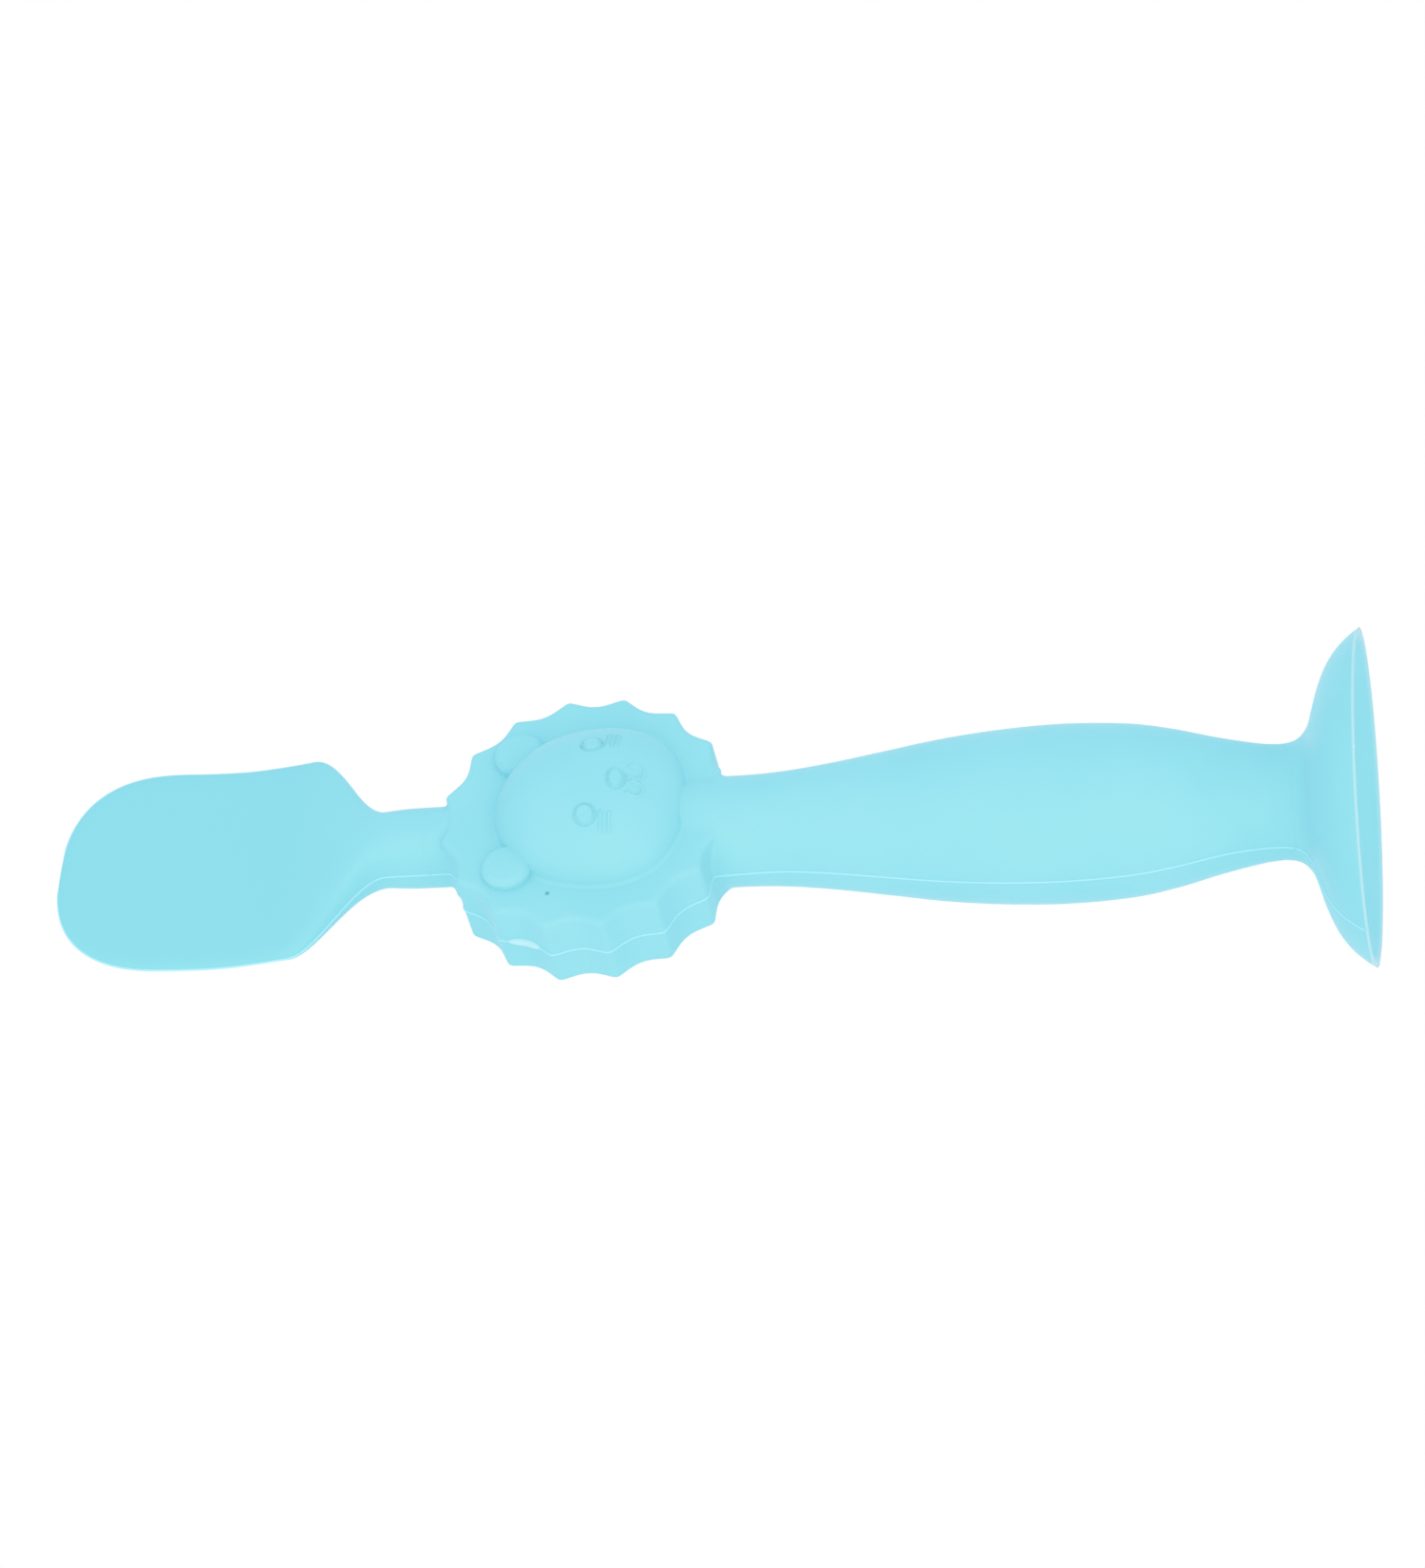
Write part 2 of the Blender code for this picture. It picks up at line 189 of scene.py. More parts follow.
def handle_field(p):
    """Signed field of grip, mane and neck, negative inside.
    The factors on the mane's side and on the neck bring it near to true distance."""
    x, y, z = p[:, 0], p[:, 1], p[:, 2]
    grip = np.hypot(x, y) - body_radius(z)
    reach = np.hypot(x, z - HEAD_Z)
    side = 0.87 * (reach - mane_radius(np.arctan2(z - HEAD_Z, x)) + MANE_DRAFT * np.abs(y))
    slab = np.abs(y - 0.5 * (MANE_BACK - MANE_FRONT)) - 0.5 * (MANE_BACK + MANE_FRONT)
    mane = rounded_max(side, slab, MANE_EDGE_ROUND)
    across = np.abs(x / NECK_HALF_WIDTH) ** NECK_POWER + np.abs(y / half_thickness(z)) ** NECK_POWER
    neck = np.maximum(4.7 * (across ** (1.0 / NECK_POWER) - 1.0), NECK_ROOT_Z - z)
    grip = grip + FAR_OUTSIDE * (z > GRIP_TOP_Z)
    whole = smooth_min(smooth_min(grip, mane, HEAD_FILLET), neck, HEAD_FILLET)
    tuck = np.clip((CUP_SEAM_Z - z) / SEAM_LAP, 0.0, 1.0) + np.clip((z - BLADE_SEAM_Z) / SEAM_LAP, 0.0, 1.0)
    whole = whole + SEAM_TUCK * tuck
    return np.maximum(whole, np.maximum(CUP_SEAM_Z - SEAM_LAP - z, z - BLADE_SEAM_Z - SEAM_LAP))


def gradient(field, points, step=0.004):
    value = field(points)
    parts = [(field(points + step * axis) - value) / step for axis in np.eye(3)]
    return value, np.stack(parts, 1)


def settled(points, field, rounds):
    """Points moved onto the field's zero surface."""
    for _ in range(rounds):
        value, slope = gradient(field, points)
        move = (value / np.maximum((slope * slope).sum(1), 1e-6))[:, None] * slope
        length = np.maximum(np.linalg.norm(move, axis=1, keepdims=True), 1e-9)
        points = points - move * np.minimum(1.0, 0.2 / length)
    return points


GRID_PARTS = 24                 # the field is worked out in this many parts, to save memory


def surface_net(field, low, high, step):
    """Points and quads of the field's zero surface on a regular grid."""
    axes = [np.arange(a, b + step, step) for a, b in zip(low, high)]
    grid = np.stack(np.meshgrid(*axes, indexing="ij"), -1)
    shape = grid.shape[:3]
    parts = np.array_split(grid.reshape(-1, 3), GRID_PARTS)
    value = np.concatenate([field(part) for part in parts]).reshape(shape)
    inside = value < 0.0
    cells = tuple(n - 1 for n in shape)
    corner = [(i, j, k) for i in (0, 1) for j in (0, 1) for k in (0, 1)]
    filled = sum(inside[i:i + cells[0], j:j + cells[1], k:k + cells[2]].astype(np.int8) for i, j, k in corner)
    active = np.argwhere((filled > 0) & (filled < 8))
    index = -np.ones(cells, int)
    index[tuple(active.T)] = np.arange(len(active))
    total = np.zeros((len(active), 3))
    count = np.zeros(len(active))
    for a in corner:
        for axis in range(3):
            if a[axis]:
                continue
            near = active + a
            far = near + np.eye(3, dtype=int)[axis]
            u, v = value[tuple(near.T)], value[tuple(far.T)]
            crosses = (u < 0) != (v < 0)
            share = np.where(crosses, u / np.where(crosses, u - v, 1.0), 0.0)
            total += crosses[:, None] * (np.array(a) + share[:, None] * np.eye(3)[axis])
            count += crosses
    points = np.array(low) + step * (active + total / count[:, None])
    quads = []
    for axis in range(3):
        u, v = np.eye(3, dtype=int)[(axis + 1) % 3], np.eye(3, dtype=int)[(axis + 2) % 3]
        near = [slice(1, -1)] * 3
        near[axis] = slice(0, -1)
        far = list(near)
        far[axis] = slice(1, None)
        lower = inside[tuple(near)]
        cut = np.argwhere(lower != inside[tuple(far)])
        g = cut + u + v
        around = np.stack([index[tuple(q.T)] for q in (g, g - u, g - u - v, g - v)], 1)
        outward = lower[tuple(cut.T)]
        quads.append(np.where(outward[:, None], around, around[:, ::-1]))
    return points, np.vstack(quads)


def evened(points, quads, field, rounds):
    """The same surface with its points spread more evenly."""
    a = np.concatenate([quads[:, i] for i in range(4)])
    b = np.concatenate([quads[:, (i + 1) % 4] for i in range(4)])
    start, end = np.concatenate([a, b]), np.concatenate([b, a])
    count = np.bincount(start, minlength=len(points))
    for _ in range(rounds):
        total = np.stack([np.bincount(start, points[end, k], len(points)) for k in range(3)], 1)
        centre = total / count[:, None]
        _, slope = gradient(field, points)
        normal = slope / np.maximum(np.linalg.norm(slope, axis=1, keepdims=True), 1e-9)
        move = 0.6 * (centre - points)
        points = points + move - (move * normal).sum(1, keepdims=True) * normal
        points = settled(points, field, 1)
    return settled(points, field, 2)


# ---------------------------------------------------------------- mesh helpers

def add_piece(name, points, faces, material):
    """Closed smooth mesh from points in millimetres, with its finish and slot; flat end caps stay flat."""
    mesh = bpy.data.meshes.new(name)
    mesh.from_pydata((np.asarray(points, float) * MM).tolist(), [], [list(map(int, f)) for f in faces])
    mesh.validate()
    for face in mesh.polygons:
        face.use_smooth = len(face.vertices) < 5
    piece = bpy.data.objects.new(name, mesh)
    bpy.context.scene.collection.objects.link(piece)
    mesh.materials.append(material)
    return piece


def ring_faces(rings, segments):
    """Quads between consecutive rings of points."""
    faces = []
    for r in range(rings - 1):
        for s in range(segments):
            t = (s + 1) % segments
            low, high = r * segments, (r + 1) * segments
            faces.append((low + s, low + t, high + t, high + s))
    return faces


def turned(profile, segments):
    """Solid of revolution about Z; the profile starts and ends on the axis and runs clockwise in (r, z)."""
    profile = np.asarray(profile, float)
    angle = 2.0 * math.pi * np.arange(segments) / segments
    body = profile[1:-1]
    points = [np.stack([r * np.cos(angle), r * np.sin(angle), np.full(segments, z)], 1) for r, z in body]
    points = np.vstack(points + [[[0.0, 0.0, profile[0, 1]]], [[0.0, 0.0, profile[-1, 1]]]])
    faces = ring_faces(len(body), segments)
    start, end = len(points) - 2, len(points) - 1
    last = (len(body) - 1) * segments
    faces += [(start, (s + 1) % segments, s) for s in range(segments)]
    faces += [(end, last + s, last + (s + 1) % segments) for s in range(segments)]
    return points, faces


def tube(path, radius, sides=8):
    """Round bead along a path that lies close to the parting plane; the radius may vary along it."""
    radius = np.broadcast_to(radius, len(path))
    tangent = np.gradient(path, axis=0)
    tangent /= np.linalg.norm(tangent, axis=1, keepdims=True)
    across = np.cross(tangent, [0.0, 1.0, 0.0])
    across /= np.linalg.norm(across, axis=1, keepdims=True)
    other = np.cross(tangent, across)
    angle = 2.0 * math.pi * np.arange(sides) / sides
    rings = [c + r * (np.cos(angle)[:, None] * a + np.sin(angle)[:, None] * b)
             for c, a, b, r in zip(path, across, other, radius)]
    faces = ring_faces(len(rings), sides)
    faces.append(tuple(reversed(range(sides))))
    faces.append(tuple(range((len(rings) - 1) * sides, len(rings) * sides)))
    return np.vstack(rings), faces


def evenly(path, step):
    """The path resampled at equal steps."""
    path = np.asarray(path, float)
    along = np.concatenate([[0.0], np.cumsum(np.linalg.norm(np.diff(path, axis=0), axis=1))])
    at = np.linspace(0.0, along[-1], max(int(along[-1] / step), 2))
    return np.stack([np.interp(at, along, path[:, k]) for k in range(path.shape[1])], 1)


# ---------------------------------------------------------------- materials

BLUE = (0.315, 0.775, 0.865)
DEEP_SHARE = (0.955, 0.985, 0.99)           # darkest and palest blotches, as shares of the colour
PALE_SHARE = (1.035, 1.01, 1.005)
# painted shade: the blade beyond the neck is coloured darker than the rest
SHADED_BLADE_SHARE = (0.868, 0.958, 0.968)
DUST = (0.46, 0.84, 0.92)
# painted highlight: pale line along the cup's thin rim, standing in for light through the rim
RIM_HIGHLIGHT = (0.62, 0.88, 0.93)
# painted highlight: paler colour on the down-facing inner edge of the lip
LIP_HIGHLIGHT = (0.60, 0.84, 0.90)
SPECK = (0.15, 0.42, 0.50)
# the parting line is real flash; its paler colour is a painted highlight
FLASH_HIGHLIGHT_COLOUR = (0.44, 0.88, 0.98)
# the burr is real flash; its whiter colour is a painted highlight
BURR_HIGHLIGHT_COLOUR = (0.55, 0.89, 0.97)


def silicone(name, colour, rim=False, blade=False, fine=1.0):
    """Matt moulded silicone: soft blotches of tone, mould grain, faint dust and a slight sheen.
    The cup has a painted highlight along its rim and on the down-facing inner edge of its lip; the blade is
    painted darker beyond the neck, as painted shade.  Lengths in metres."""
    material = bpy.data.materials.new(name)
    material.use_nodes = True
    nodes, links = material.node_tree.nodes, material.node_tree.links
    shader = nodes["Principled BSDF"]
    shader.inputs["IOR"].default_value = 1.41
    shader.inputs["Specular IOR Level"].default_value = 0.35
    shader.inputs["Sheen Weight"].default_value = 0.12
    shader.inputs["Sheen Roughness"].default_value = 0.5
    coordinates = nodes.new("ShaderNodeTexCoord")
    place = coordinates.outputs["Object"]

    def noise(scale, detail=2.0, roughness=0.5):
        node = nodes.new("ShaderNodeTexNoise")
        node.inputs["Scale"].default_value = scale
        node.inputs["Detail"].default_value = detail
        node.inputs["Roughness"].default_value = roughness
        links.new(place, node.inputs["Vector"])
        return node.outputs["Fac"]

    def spread(value, low, high, to_low, to_high):
        node = nodes.new("ShaderNodeMapRange")
        node.inputs["From Min"].default_value = low
        node.inputs["From Max"].default_value = high
        node.inputs["To Min"].default_value = to_low
        node.inputs["To Max"].default_value = to_high
        links.new(value, node.inputs["Value"])
        return node.outputs["Result"]

    def mix(share, a, b):
        node = nodes.new("ShaderNodeMix")
        node.data_type = "RGBA"
        links.new(share, node.inputs["Factor"])
        for value, socket in ((a, node.inputs["A"]), (b, node.inputs["B"])):
            if isinstance(value, tuple):
                socket.default_value = (*value, 1.0)
            else:
                links.new(value, socket)
        return node.outputs["Result"]

    def tinted(share):
        return tuple(min(c * f, 1.0) for c, f in zip(colour, share))

    tone = mix(spread(noise(75.0, 3.0), 0.3, 0.7, 0.0, 1.0), tinted(DEEP_SHARE), tinted(PALE_SHARE))
    tone = mix(spread(noise(2600.0, 1.0), 0.74, 0.80, 0.0, 0.35), tone, DUST)
    split = nodes.new("ShaderNodeSeparateXYZ")
    links.new(place, split.inputs["Vector"])
    # painted shade: the blade darkens from 123 mm to 139 mm up
    if blade:
        blade_shade_mask = spread(split.outputs["Z"], 0.123, 0.139, 0.0, 1.0)
        tone = mix(blade_shade_mask, tone, tinted(SHADED_BLADE_SHARE))
    if rim:
        radius = nodes.new("ShaderNodeVectorMath")
        radius.operation = "LENGTH"
        flat = nodes.new("ShaderNodeCombineXYZ")
        links.new(split.outputs["X"], flat.inputs["X"])
        links.new(split.outputs["Y"], flat.inputs["Y"])
        links.new(flat.outputs["Vector"], radius.inputs[0])
        # painted highlight: a pale band just inside the rim's outer edge
        rim_highlight_mask = spread(radius.outputs["Value"], 0.02084, 0.02098, 0.0, 0.7)
        tone = mix(rim_highlight_mask, tone, RIM_HIGHLIGHT)
        # painted highlight: surfaces near the rim that face down are paler
        facing = nodes.new("ShaderNodeSeparateXYZ")
        links.new(coordinates.outputs["Normal"], facing.inputs["Vector"])
        lip_highlight = nodes.new("ShaderNodeMath")
        lip_highlight.operation = "MULTIPLY"
        links.new(spread(radius.outputs["Value"], 0.0199, 0.0207, 0.0, 0.75), lip_highlight.inputs[0])
        links.new(spread(facing.outputs["Z"], -0.1, 0.05, 1.0, 0.0), lip_highlight.inputs[1])
        tone = mix(lip_highlight.outputs["Value"], tone, LIP_HIGHLIGHT)
    for x, y, z, size in SPECKS:
        away = nodes.new("ShaderNodeVectorMath")
        away.operation = "DISTANCE"
        links.new(place, away.inputs[0])
        away.inputs[1].default_value = (x * MM, y * MM, z * MM)
        near = spread(away.outputs["Value"], 0.4 * size * MM, 1.6 * size * MM, 1.0, 0.0)
        tone = mix(near, tone, SPECK)
    links.new(tone, shader.inputs["Base Color"])
    links.new(spread(noise(420.0, 2.0), 0.3, 0.7, 0.50, 0.60), shader.inputs["Roughness"])
    grain = nodes.new("ShaderNodeBump")
    grain.inputs["Strength"].default_value = 0.25 * fine
    grain.inputs["Distance"].default_value = 0.00004
    links.new(noise(1900.0, 3.0, 0.6), grain.inputs["Height"])
    soft = nodes.new("ShaderNodeBump")
    soft.inputs["Strength"].default_value = 0.20 * fine
    soft.inputs["Distance"].default_value = 0.00018
    links.new(noise(190.0, 1.0), soft.inputs["Height"])
    links.new(grain.outputs["Normal"], soft.inputs["Normal"])
    links.new(soft.outputs["Normal"], shader.inputs["Normal"])
    return material


def nylon(name):
    """Off-white moulded nylon with a fine grain, for the stiffener bar."""
    material = bpy.data.materials.new(name)
    material.use_nodes = True
    nodes, links = material.node_tree.nodes, material.node_tree.links
    shader = nodes["Principled BSDF"]
    place = nodes.new("ShaderNodeTexCoord")
    noise = nodes.new("ShaderNodeTexNoise")
    noise.inputs["Scale"].default_value = 900.0
    links.new(place.outputs["Object"], noise.inputs["Vector"])
    ramp = nodes.new("ShaderNodeValToRGB")
    ramp.color_ramp.elements[0].color = (0.78, 0.78, 0.73, 1.0)
    ramp.color_ramp.elements[1].color = (0.86, 0.86, 0.82, 1.0)
    links.new(noise.outputs["Fac"], ramp.inputs["Fac"])
    links.new(ramp.outputs["Color"], shader.inputs["Base Color"])
    rough = nodes.new("ShaderNodeMapRange")
    rough.inputs["To Min"].default_value = 0.38
    rough.inputs["To Max"].default_value = 0.5
    links.new(noise.outputs["Fac"], rough.inputs["Value"])
    links.new(rough.outputs["Result"], shader.inputs["Roughness"])
    bump = nodes.new("ShaderNodeBump")
    bump.inputs["Strength"].default_value = 0.2
    bump.inputs["Distance"].default_value = 0.00003
    links.new(noise.outputs["Fac"], bump.inputs["Height"])
    links.new(bump.outputs["Normal"], shader.inputs["Normal"])
    return material


cup_skin = silicone("silicone_cup", BLUE, rim=True)
handle_skin = silicone("silicone_handle", BLUE)
blade_skin = silicone("silicone_blade", BLUE, blade=True)
# parting line beads: painted highlight, paler than the silicone
flash_highlight_skin = silicone("silicone_parting_line_painted_highlight", FLASH_HIGHLIGHT_COLOUR, fine=0.4)
# burr: painted highlight, whiter than the silicone
burr_highlight_skin = silicone("silicone_burr_painted_highlight", BURR_HIGHLIGHT_COLOUR, fine=0.4)


# ---------------------------------------------------------------- cup

def make_cup():
    top = CUP_SEAM_Z + SEAM_LAP
    wall = OUTSIDE[OUTSIDE[:, 1] < top - 0.02]
    wall = np.vstack([wall, [[body_radius(top), top]]])
    wall[:, 0] -= SEAM_TUCK * np.clip((wall[:, 1] - CUP_SEAM_Z) / SEAM_LAP, 0.0, 1.0)
    hollow = smooth_through(CUP_INNER, HOLLOW_STEPS)
    profile = [(0.0, top)] + [tuple(q) for q in wall[::-1]] + [RIM_FLAT] + [tuple(q) for q in hollow]
    return turned(profile, 192)


def cup_flash_path(side):
    """Up one side of the cup, from just clear of the table to the seam."""
    wall = OUTSIDE[(OUTSIDE[:, 1] > 0.22) & (OUTSIDE[:, 1] < CUP_SEAM_Z + 0.1)]
    return evenly(np.stack([side * wall[:, 0], np.zeros(len(wall)), wall[:, 1]], 1), 0.5)


# ---------------------------------------------------------------- handle

HANDLE_LOW, HANDLE_HIGH = (-19.5, -11.9, 7.9), (19.5, 11.9, 120.1)     # box that holds the handle
HANDLE_STEP = 0.31


def make_handle():
    points, quads = surface_net(handle_field, HANDLE_LOW, HANDLE_HIGH, HANDLE_STEP)
    return evened(settled(points, handle_field, 3), quads, handle_field, 4), quads


def in_plane(path):
    """A path in the parting plane settled onto the handle's skin."""
    for _ in range(6):
        value, slope = gradient(handle_field, path)
        slope[:, 1] = 0.0
        move = (value / np.maximum((slope * slope).sum(1), 0.2))[:, None] * slope
        path = path - np.clip(move, -0.3, 0.3)
    return path


def handle_flash_path(side):
    """Up one side of the grip, round the mane's teeth and up the neck."""
    low = np.arange(CUP_SEAM_Z - 0.1, 80.0, 0.5)
    grip = np.stack([body_radius(low), low], 1)
    angle = np.radians(np.arange(-67.0, 75.0, 1.0))
    reach = mane_radius(angle)
    mane = np.stack([reach * np.cos(angle), HEAD_Z + reach * np.sin(angle)], 1)
    high = np.arange(117.2, BLADE_SEAM_Z + 0.1, 0.4)
    neck = np.stack([np.full(len(high), NECK_HALF_WIDTH), high], 1)
    path = evenly(np.vstack([grip, mane, neck]), 0.35)
    path = in_plane(np.stack([path[:, 0], np.zeros(len(path)), path[:, 1]], 1))
    z = path[:, 2]
    shift = FLASH_SHIFT * smoothstep(z, CUP_SEAM_Z, 18.0) * (1.0 - smoothstep(z, 70.0, 82.0))
    path[:, 0] -= shift ** 2 / (2.0 * np.maximum(path[:, 0], 5.0))
    path[:, 1] = -shift
    path[:, 0] *= side
    return evenly(path, 0.35)


# ---------------------------------------------------------------- face

def arc_distance(x, v, centre_x, centre_v, radius, lift):
    """Distance from the part of a circle below the given height above its centre."""
    dx, dv = x - centre_x, v - centre_v
    half = math.sqrt(radius * radius - lift * lift)
    ends = np.minimum(np.hypot(dx - half, dv - lift), np.hypot(dx + half, dv - lift))
    return np.where(dv < lift, np.abs(np.hypot(dx, dv) - radius), ends)


def line_distance(x, v, start, end):
    start, end = np.array(start), np.array(end)
    d = end - start
    t = np.clip(((x - start[0]) * d[0] + (v - start[1]) * d[1]) / (d @ d), 0.0, 1.0)
    return np.hypot(x - start[0] - t * d[0], v - start[1] - t * d[1])


def face_relief(x, v):
    """Eyes, cheek strokes, nose and mouth of a plain animal face, in millimetres."""
    def bead(distance, half_width=0.3, height=0.3):
        return height * (1.0 - smoothstep(distance, 0.2 * half_width, half_width))

    def button(distance, edge, height=0.38, groove=0.2):
        """A raised disc with a fine groove round it."""
        ditch = bead(np.abs(distance - edge - 0.12), 0.24, groove)
        return height * (1.0 - smoothstep(distance, edge - 0.3, edge)) - ditch

    relief = button(np.hypot(x / NOSE_WIDENED, v - NOSE_UP), NOSE_RADIUS)
    for side in (-1.0, 1.0):
        eye = np.hypot(x - side * EYE_X, v - EYE_UP)
        relief = relief + button(eye, EYE_RADIUS) - bead(eye, 0.75, 0.1)
        for up in CHEEK_UPS:
            stroke = line_distance(x, v, (side * CHEEK_X[0], up), (side * CHEEK_X[1], up))
            relief = relief + bead(stroke, 0.33)
        relief = relief + bead(arc_distance(x, v, side * MOUTH_X, MOUTH_UP, MOUTH_RADIUS, MOUTH_LIFT))
    return relief


def polar_cap(centre, outline, apex_up, base, height_at, rings, segments):
    """Closed cap standing towards -Y: rows of points from the middle out, then a wall back to its base.
    The outline gives a radius for each angle from +Z; rows shrink to a point apex_up above the centre."""
    angle = 2.0 * math.pi * np.arange(segments) / segments
    reach = np.broadcast_to(outline(angle), segments)
    edge_x, edge_v = reach * np.sin(angle), reach * np.cos(angle)
    rows = []
    for t in np.sin(0.5 * math.pi * np.arange(1, rings + 1) / rings):
        x, v = t * edge_x, apex_up + t * (edge_v - apex_up)
        rows.append(np.stack([centre[0] + x, -height_at(x, v, t), centre[1] + v], 1))
    wall = rows[-1].copy()
    wall[:, 1] = -base
    rows.append(wall)
    apex = height_at(np.zeros(1), np.full(1, apex_up), 0.0)[0]
    middle = [centre[0], -apex, centre[1] + apex_up]
    below = [centre[0], -base, centre[1] + apex_up]
    points = np.vstack(rows + [[middle, below]])
    faces = ring_faces(len(rows), segments)
    last, top, foot = (len(rows) - 1) * segments, len(points) - 2, len(points) - 1
    faces += [(top, (s + 1) % segments, s) for s in range(segments)]
    faces += [(foot, last + s, last + (s + 1) % segments) for s in range(segments)]
    return points, faces


def face_outline(angle):
    chin = FACE_CHIN * np.exp(-((angle - math.pi) / FACE_CHIN_SPREAD) ** 4)
    radius = sum(term * np.cos(n * angle) for n, term in enumerate(FACE_OUTLINE))
    return (1.0 + FACE_FILLET_REACH) * radius + chin


def dome_height(x, v, t):
    """Dome with the face on it; its last rows run out in a hollow and end just under the mane's surface."""
    t = t * (1.0 + FACE_FILLET_REACH)
    to_end = (1.0 + FACE_FILLET_REACH - t) * FACE_OUTLINE[0]
    if to_end < 0.97 * FACE_FILLET:
        rise = FACE_FILLET - math.sqrt(FACE_FILLET ** 2 - to_end ** 2) - FACE_FOOT_SINK
    else:
        rise = FACE_HEIGHT * (1.0 - t * t) ** FACE_EDGE_POWER
    return MANE_FRONT + rise + face_relief(x, v)


def ear_height(x, v, t):
    """Nearly flat disc with a rounded edge."""
    return np.full_like(x, EAR_TOP - 0.2 * t * t - 0.6 * max((t - 0.76) / 0.24, 0.0) ** 2)


# ---------------------------------------------------------------- blade

def blade_rings(count=160):
    """Rings along neck and blade: a squarish oval that flattens to a plate with a rounded edge."""
    start = BLADE_SEAM_Z - SEAM_LAP
    straight = np.arange(start, BLADE_TIP_Z - BLADE_END_LENGTH, 0.45)
    turn = np.sin(0.5 * math.pi * np.arange(0, 56) / 56)
    heights = np.concatenate([straight, BLADE_TIP_Z - BLADE_END_LENGTH * (1.0 - turn)])
    angle = 2.0 * math.pi * np.arange(count) / count
    c, s = np.cos(angle), np.sin(angle)
    rings = []
    for z in heights:
        full = blade_width(z)
        end = max(z - (BLADE_TIP_Z - BLADE_END_LENGTH), 0.0) / BLADE_END_LENGTH
        plate = smoothstep(z, SHOULDER_START_Z, SHOULDER_END_Z)
        power = NECK_POWER - 0.3 * plate
        narrowed = (1.0 - end ** BLADE_END_POWER) ** (1.0 / BLADE_END_POWER)
        x = full * narrowed * np.sign(c) * np.abs(c) ** (2.0 / power)
        spread = ((np.abs(x) / full) ** BLADE_END_POWER + end ** BLADE_END_POWER) ** (1.0 / BLADE_END_POWER)
        spread = np.minimum(spread, 1.0)
        oval = np.maximum(1.0 - spread ** power, 0.0) ** (1.0 / power)
        slab = (1.0 - 0.3 * spread ** 2) * np.sqrt(np.maximum(1.0 - spread ** 16, 0.0))
        thick = half_thickness(z) * (oval + (slab - oval) * plate)
        tuck = SEAM_TUCK * np.clip((BLADE_SEAM_Z - z) / SEAM_LAP, 0.0, 1.0)
        y = np.sign(s) * np.maximum(thick - tuck, 0.0) + blade_centre_y(z)
        rings.append(np.stack([x * (1.0 - tuck / full), y, np.full(count, z)], 1))
    return rings


def make_blade():
    rings = blade_rings()
    count = len(rings[0])
    tip = np.array([[0.0, blade_centre_y(BLADE_TIP_Z), BLADE_TIP_Z]])
    points = np.vstack(rings + [tip])
    faces = ring_faces(len(rings), count)
    last = (len(rings) - 1) * count
    faces += [(last + s, last + (s + 1) % count, len(points) - 1) for s in range(count)]
    faces.append(tuple(reversed(range(count))))
    return points, faces


def blade_flash_path():
    """Along one edge of the neck and blade, round the tip and back down the other."""
    edge = np.array([ring[0] for ring in blade_rings(4) if ring[0][2] > BLADE_SEAM_Z - 0.6])
    tip = np.array([[0.0, blade_centre_y(BLADE_TIP_Z), BLADE_TIP_Z - FLASH_RADIUS - 0.01]])
    other = edge[::-1] * np.array([-1.0, 1.0, 1.0])
    path = np.vstack([edge, tip, other])
    path[:, 2] = np.minimum(path[:, 2], BLADE_TIP_Z - FLASH_RADIUS - 0.01)
    return evenly(path, 0.4)


# ---------------------------------------------------------------- build

points, faces = make_cup()
cup = add_piece("cup", points, faces, cup_skin)
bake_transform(cup)
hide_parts("suction_skirt", "suction_crown")
for side, label in ((-1.0, "left"), (1.0, "right")):
    points, faces = tube(cup_flash_path(side), FLASH_RADIUS)
    bead = add_piece("cup_parting_line_" + label, points, faces, flash_highlight_skin)
    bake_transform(bead)

points, faces = make_handle()
handle = add_piece("handle_body", points, faces, handle_skin)
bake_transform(handle)
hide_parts("grip", "lion_head")
for side, label in ((-1.0, "left"), (1.0, "right")):
    path = handle_flash_path(side)
    points, faces = tube(path, FLASH_RADIUS)
    bead = add_piece("handle_parting_line_" + label, points, faces, flash_highlight_skin)
    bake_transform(bead)
    away = np.hypot(path[:, 0] + FLASH_BURR[0], path[:, 2] - FLASH_BURR[1])
    near = away < 1.25 * FLASH_BURR_LENGTH
    if near.any():
        burr = FLASH_RADIUS + 0.01 + FLASH_BURR_EXTRA * np.exp(-(away[near] / FLASH_BURR_LENGTH) ** 4)
        points, faces = tube(path[near], burr)
        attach(add_piece("mane_burr", points, faces, burr_highlight_skin), "handle")

points, faces = polar_cap((0.0, HEAD_Z), face_outline, FACE_APEX_UP, CAP_BASE, dome_height, 160, 420)
face = add_piece("face_dome", points, faces, handle_skin)
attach(face, "handle")
for side, label in ((-1.0, "left"), (1.0, "right")):
    spot = (side * EAR_OFFSET_X, HEAD_Z + EAR_OFFSET_Z)
    points, faces = polar_cap(spot, lambda angle: EAR_RADIUS, 0.0, CAP_BASE, ear_height, 24, 96)
    ear = add_piece("ear_" + label, points, faces, handle_skin)
    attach(ear, "handle")

points, faces = make_blade()
blade = add_piece("blade", points, faces, blade_skin)
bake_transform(blade)
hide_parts("spreading_blade")
points, faces = tube(blade_flash_path(), FLASH_RADIUS)
bead = add_piece("blade_parting_line", points, faces, flash_highlight_skin)
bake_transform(bead)

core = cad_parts["stiffener_core"]
core.data.materials.clear()
core.data.materials.append(nylon("core_nylon"))


# ---------------------------------------------------------------- stage, light and camera

SUN_SPREAD = 70.0               # degrees across, so that the light is soft
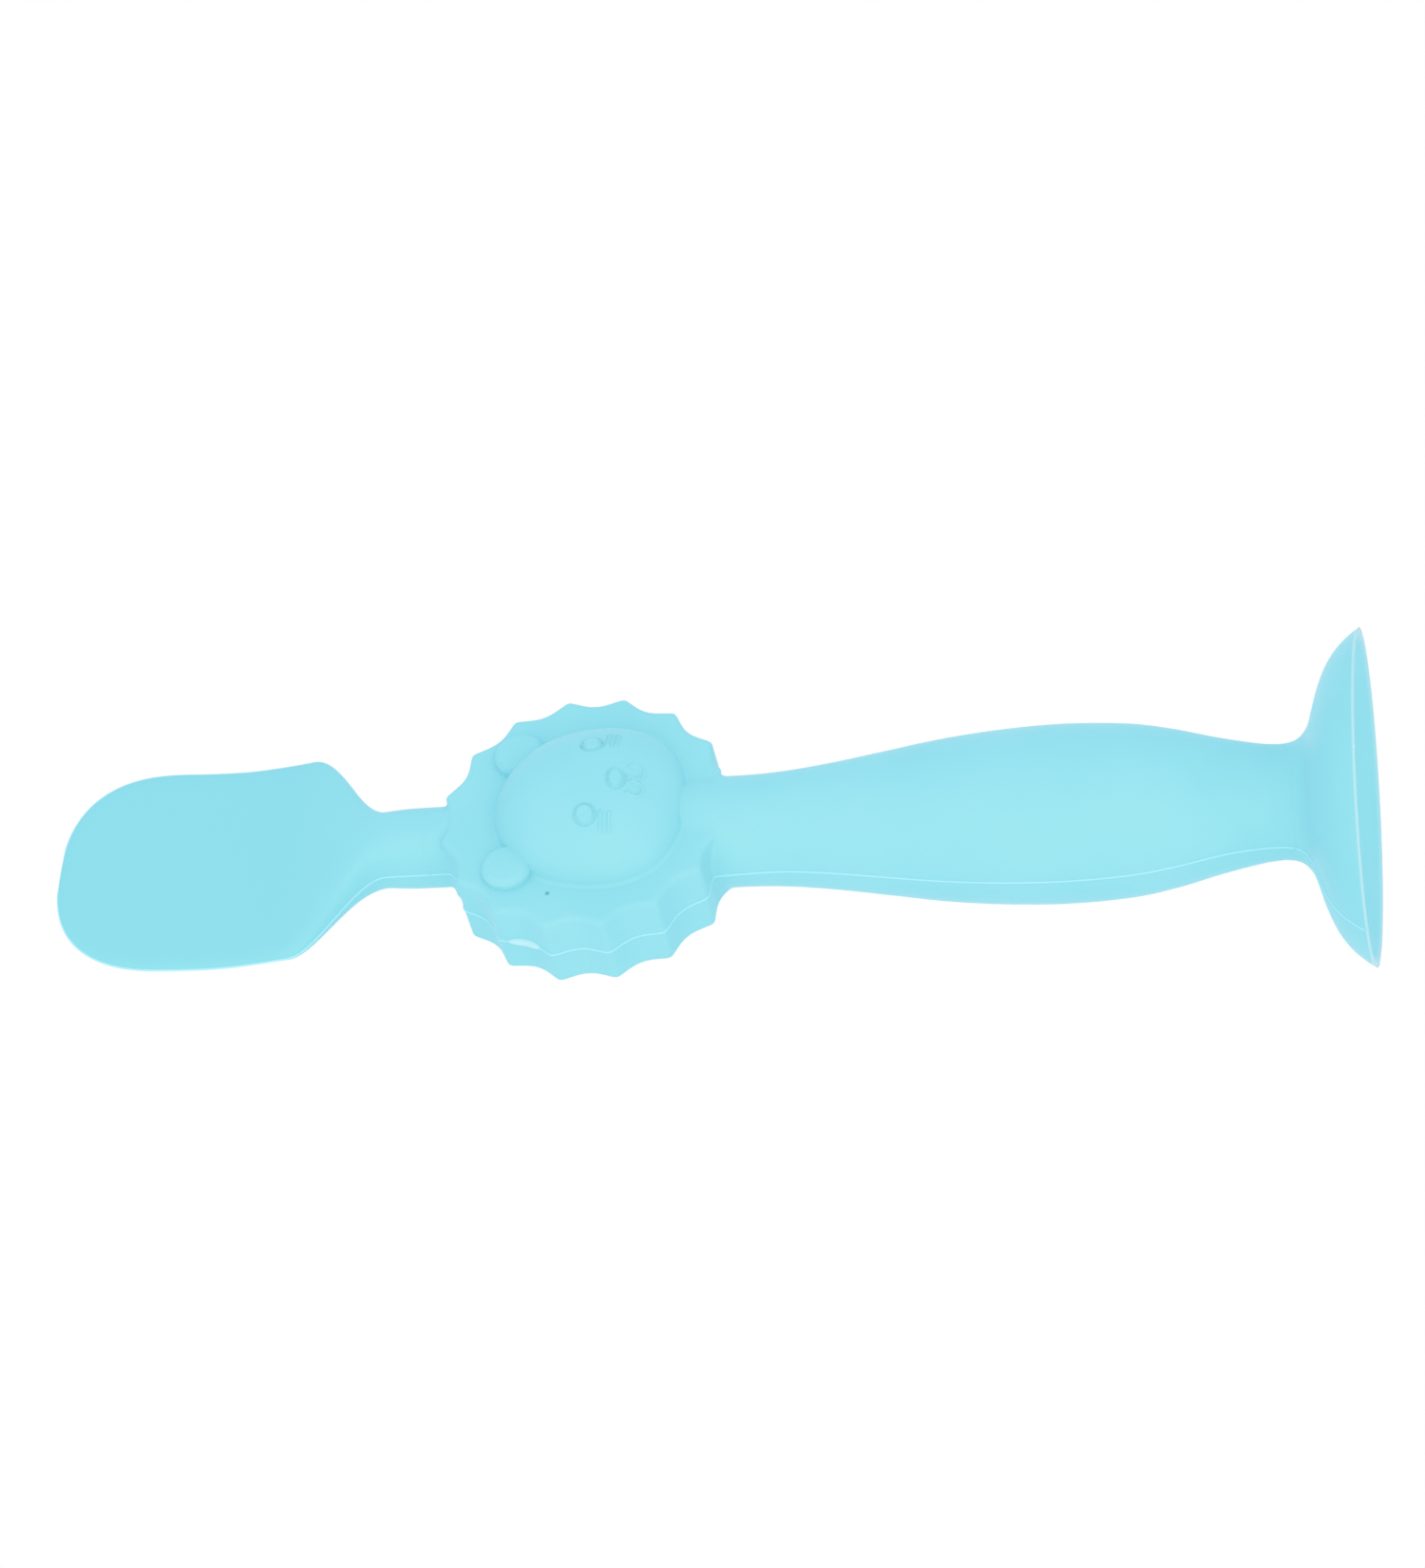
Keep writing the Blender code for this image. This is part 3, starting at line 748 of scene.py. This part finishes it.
# name, way to the light, strength, colour
SUNS = [("front", (-0.632, -0.755, -0.175), 0.909, (1.0, 0.475, 0.21)),
        ("side", (-0.937, 0.348, -0.007), 0.17, (1.0, 0.65, 0.25)),
        ("back", (0.632, 0.755, 0.175), 0.6, (1.0, 0.475, 0.216))]
FILL = (0.736, 0.887, 0.966)


def make_floor():
    """Pale floor under the rim, seen only from above; it neither lights nor shades the object.
    A faint warm glow of its own cancels the blue that the fill light gives it."""
    half = 3.0
    mesh = bpy.data.meshes.new("floor")
    corners = [(-half, -half, 0), (half, -half, 0), (half, half, 0), (-half, half, 0)]
    mesh.from_pydata(corners, [], [(0, 1, 2, 3)])
    floor = bpy.data.objects.new("floor", mesh)
    bpy.context.scene.collection.objects.link(floor)
    material = bpy.data.materials.new("floor")
    material.use_nodes = True
    nodes, links = material.node_tree.nodes, material.node_tree.links
    shader = nodes["Principled BSDF"]
    shader.inputs["Base Color"].default_value = (1.0, 0.97, 0.95, 1.0)
    shader.inputs["Roughness"].default_value = 0.9
    shader.inputs["Emission Color"].default_value = (1.0, 0.50, 0.30, 1.0)
    shader.inputs["Emission Strength"].default_value = 0.14
    geometry = nodes.new("ShaderNodeNewGeometry")
    clear = nodes.new("ShaderNodeBsdfTransparent")
    blend = nodes.new("ShaderNodeMixShader")
    links.new(geometry.outputs["Backfacing"], blend.inputs["Fac"])
    links.new(shader.outputs["BSDF"], blend.inputs[1])
    links.new(clear.outputs["BSDF"], blend.inputs[2])
    links.new(blend.outputs["Shader"], nodes["Material Output"].inputs["Surface"])
    mesh.materials.append(material)
    for ray in ("diffuse", "glossy", "transmission", "volume_scatter", "shadow"):
        setattr(floor, "visible_" + ray, False)


def make_world(fill):
    """White for the camera and a soft tinted fill for everything else."""
    world = bpy.data.worlds.new("studio")
    bpy.context.scene.world = world
    world.use_nodes = True
    nodes, links = world.node_tree.nodes, world.node_tree.links
    soft = nodes["Background"]
    soft.inputs["Color"].default_value = (*fill, 1.0)
    white = nodes.new("ShaderNodeBackground")
    white.inputs["Color"].default_value = (1.0, 1.0, 1.0, 1.0)
    path = nodes.new("ShaderNodeLightPath")
    blend = nodes.new("ShaderNodeMixShader")
    links.new(path.outputs["Is Camera Ray"], blend.inputs["Fac"])
    links.new(soft.outputs["Background"], blend.inputs[1])
    links.new(white.outputs["Background"], blend.inputs[2])
    links.new(blend.outputs["Shader"], nodes["World Output"].inputs["Surface"])


def make_sun(name, towards, strength, colour):
    """Broad soft light; towards points from the object to the light."""
    data = bpy.data.lights.new(name, "SUN")
    data.energy = strength
    data.color = colour
    data.angle = math.radians(SUN_SPREAD)
    light = bpy.data.objects.new(name, data)
    light.rotation_euler = Vector(towards).to_track_quat("Z", "Y").to_euler()
    bpy.context.scene.collection.objects.link(light)


CAMERA_AZIMUTH, CAMERA_ELEVATION, CAMERA_ROLL = -39.9, -10.1, 3.16     # degrees
CAMERA_AIM = (0.0049, -0.00372, 0.08237)                                # metres
CAMERA_DISTANCE = 0.756
CAMERA_LENS = 137.45


def make_camera():
    """The object lies across the picture, so the camera is rolled on its side."""
    azimuth, elevation, roll = (math.radians(a) for a in (CAMERA_AZIMUTH, CAMERA_ELEVATION, CAMERA_ROLL))
    back = Vector((math.cos(elevation) * math.sin(azimuth), -math.cos(elevation) * math.cos(azimuth),
                   math.sin(elevation)))
    upright = (Vector((0, 0, 1)) - back * back.z).normalized()
    level = upright.cross(back)
    right = -upright * math.cos(roll) - level * math.sin(roll)
    up = level * math.cos(roll) - upright * math.sin(roll)
    data = bpy.data.cameras.new("camera")
    data.sensor_width = 36.0
    data.lens = CAMERA_LENS
    data.clip_start = 0.01
    camera = bpy.data.objects.new("camera", data)
    turn = Matrix((right, up, back)).transposed().to_4x4()
    camera.matrix_world = Matrix.Translation(Vector(CAMERA_AIM) + back * CAMERA_DISTANCE) @ turn
    bpy.context.scene.collection.objects.link(camera)
    bpy.context.scene.camera = camera


make_floor()
make_world(FILL)
for sun in SUNS:
    make_sun(*sun)
make_camera()
bpy.context.scene.view_settings.view_transform = "Standard"
